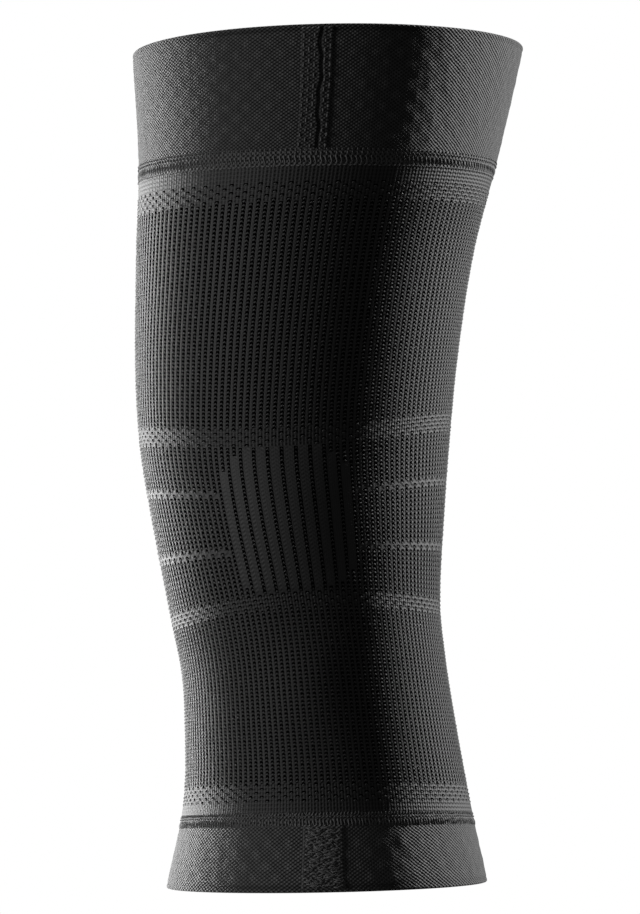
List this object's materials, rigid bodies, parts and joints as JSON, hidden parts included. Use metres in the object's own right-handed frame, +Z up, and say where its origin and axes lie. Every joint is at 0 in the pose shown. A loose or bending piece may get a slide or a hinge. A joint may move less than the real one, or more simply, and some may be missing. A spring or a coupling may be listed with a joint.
{
  "type": "knee sleeve",
  "caption": "Black knitted compression knee sleeve in its worn shape, with a ribbed kneecap panel, rows of small eyelets and an elastic band at each end.",
  "frame": {"origin": "in the middle of the bore, level with the middle of the kneecap panel", "axes": "+Z up along the leg towards the thigh, -Y to the front where the kneecap panel is, +X to the right as seen from the front"},
  "size_m": [0.1355, 0.1467, 0.2934],
  "materials": {
    "knit": "matt black eyelet knit with a soft sheen",
    "elastic": "fine elastic knit with small raised dots",
    "thread": "black sewing thread, slightly brighter than the cloth"
  },
  "bodies": {
    "root": {"knit_body": "knit", "thigh_band": "elastic", "calf_band": "elastic", "thigh_join_seam": "thread", "calf_join_seam": "thread", "thigh_closure_seam": "thread", "calf_closure_seam": "thread"}
  },
  "joints": []
}
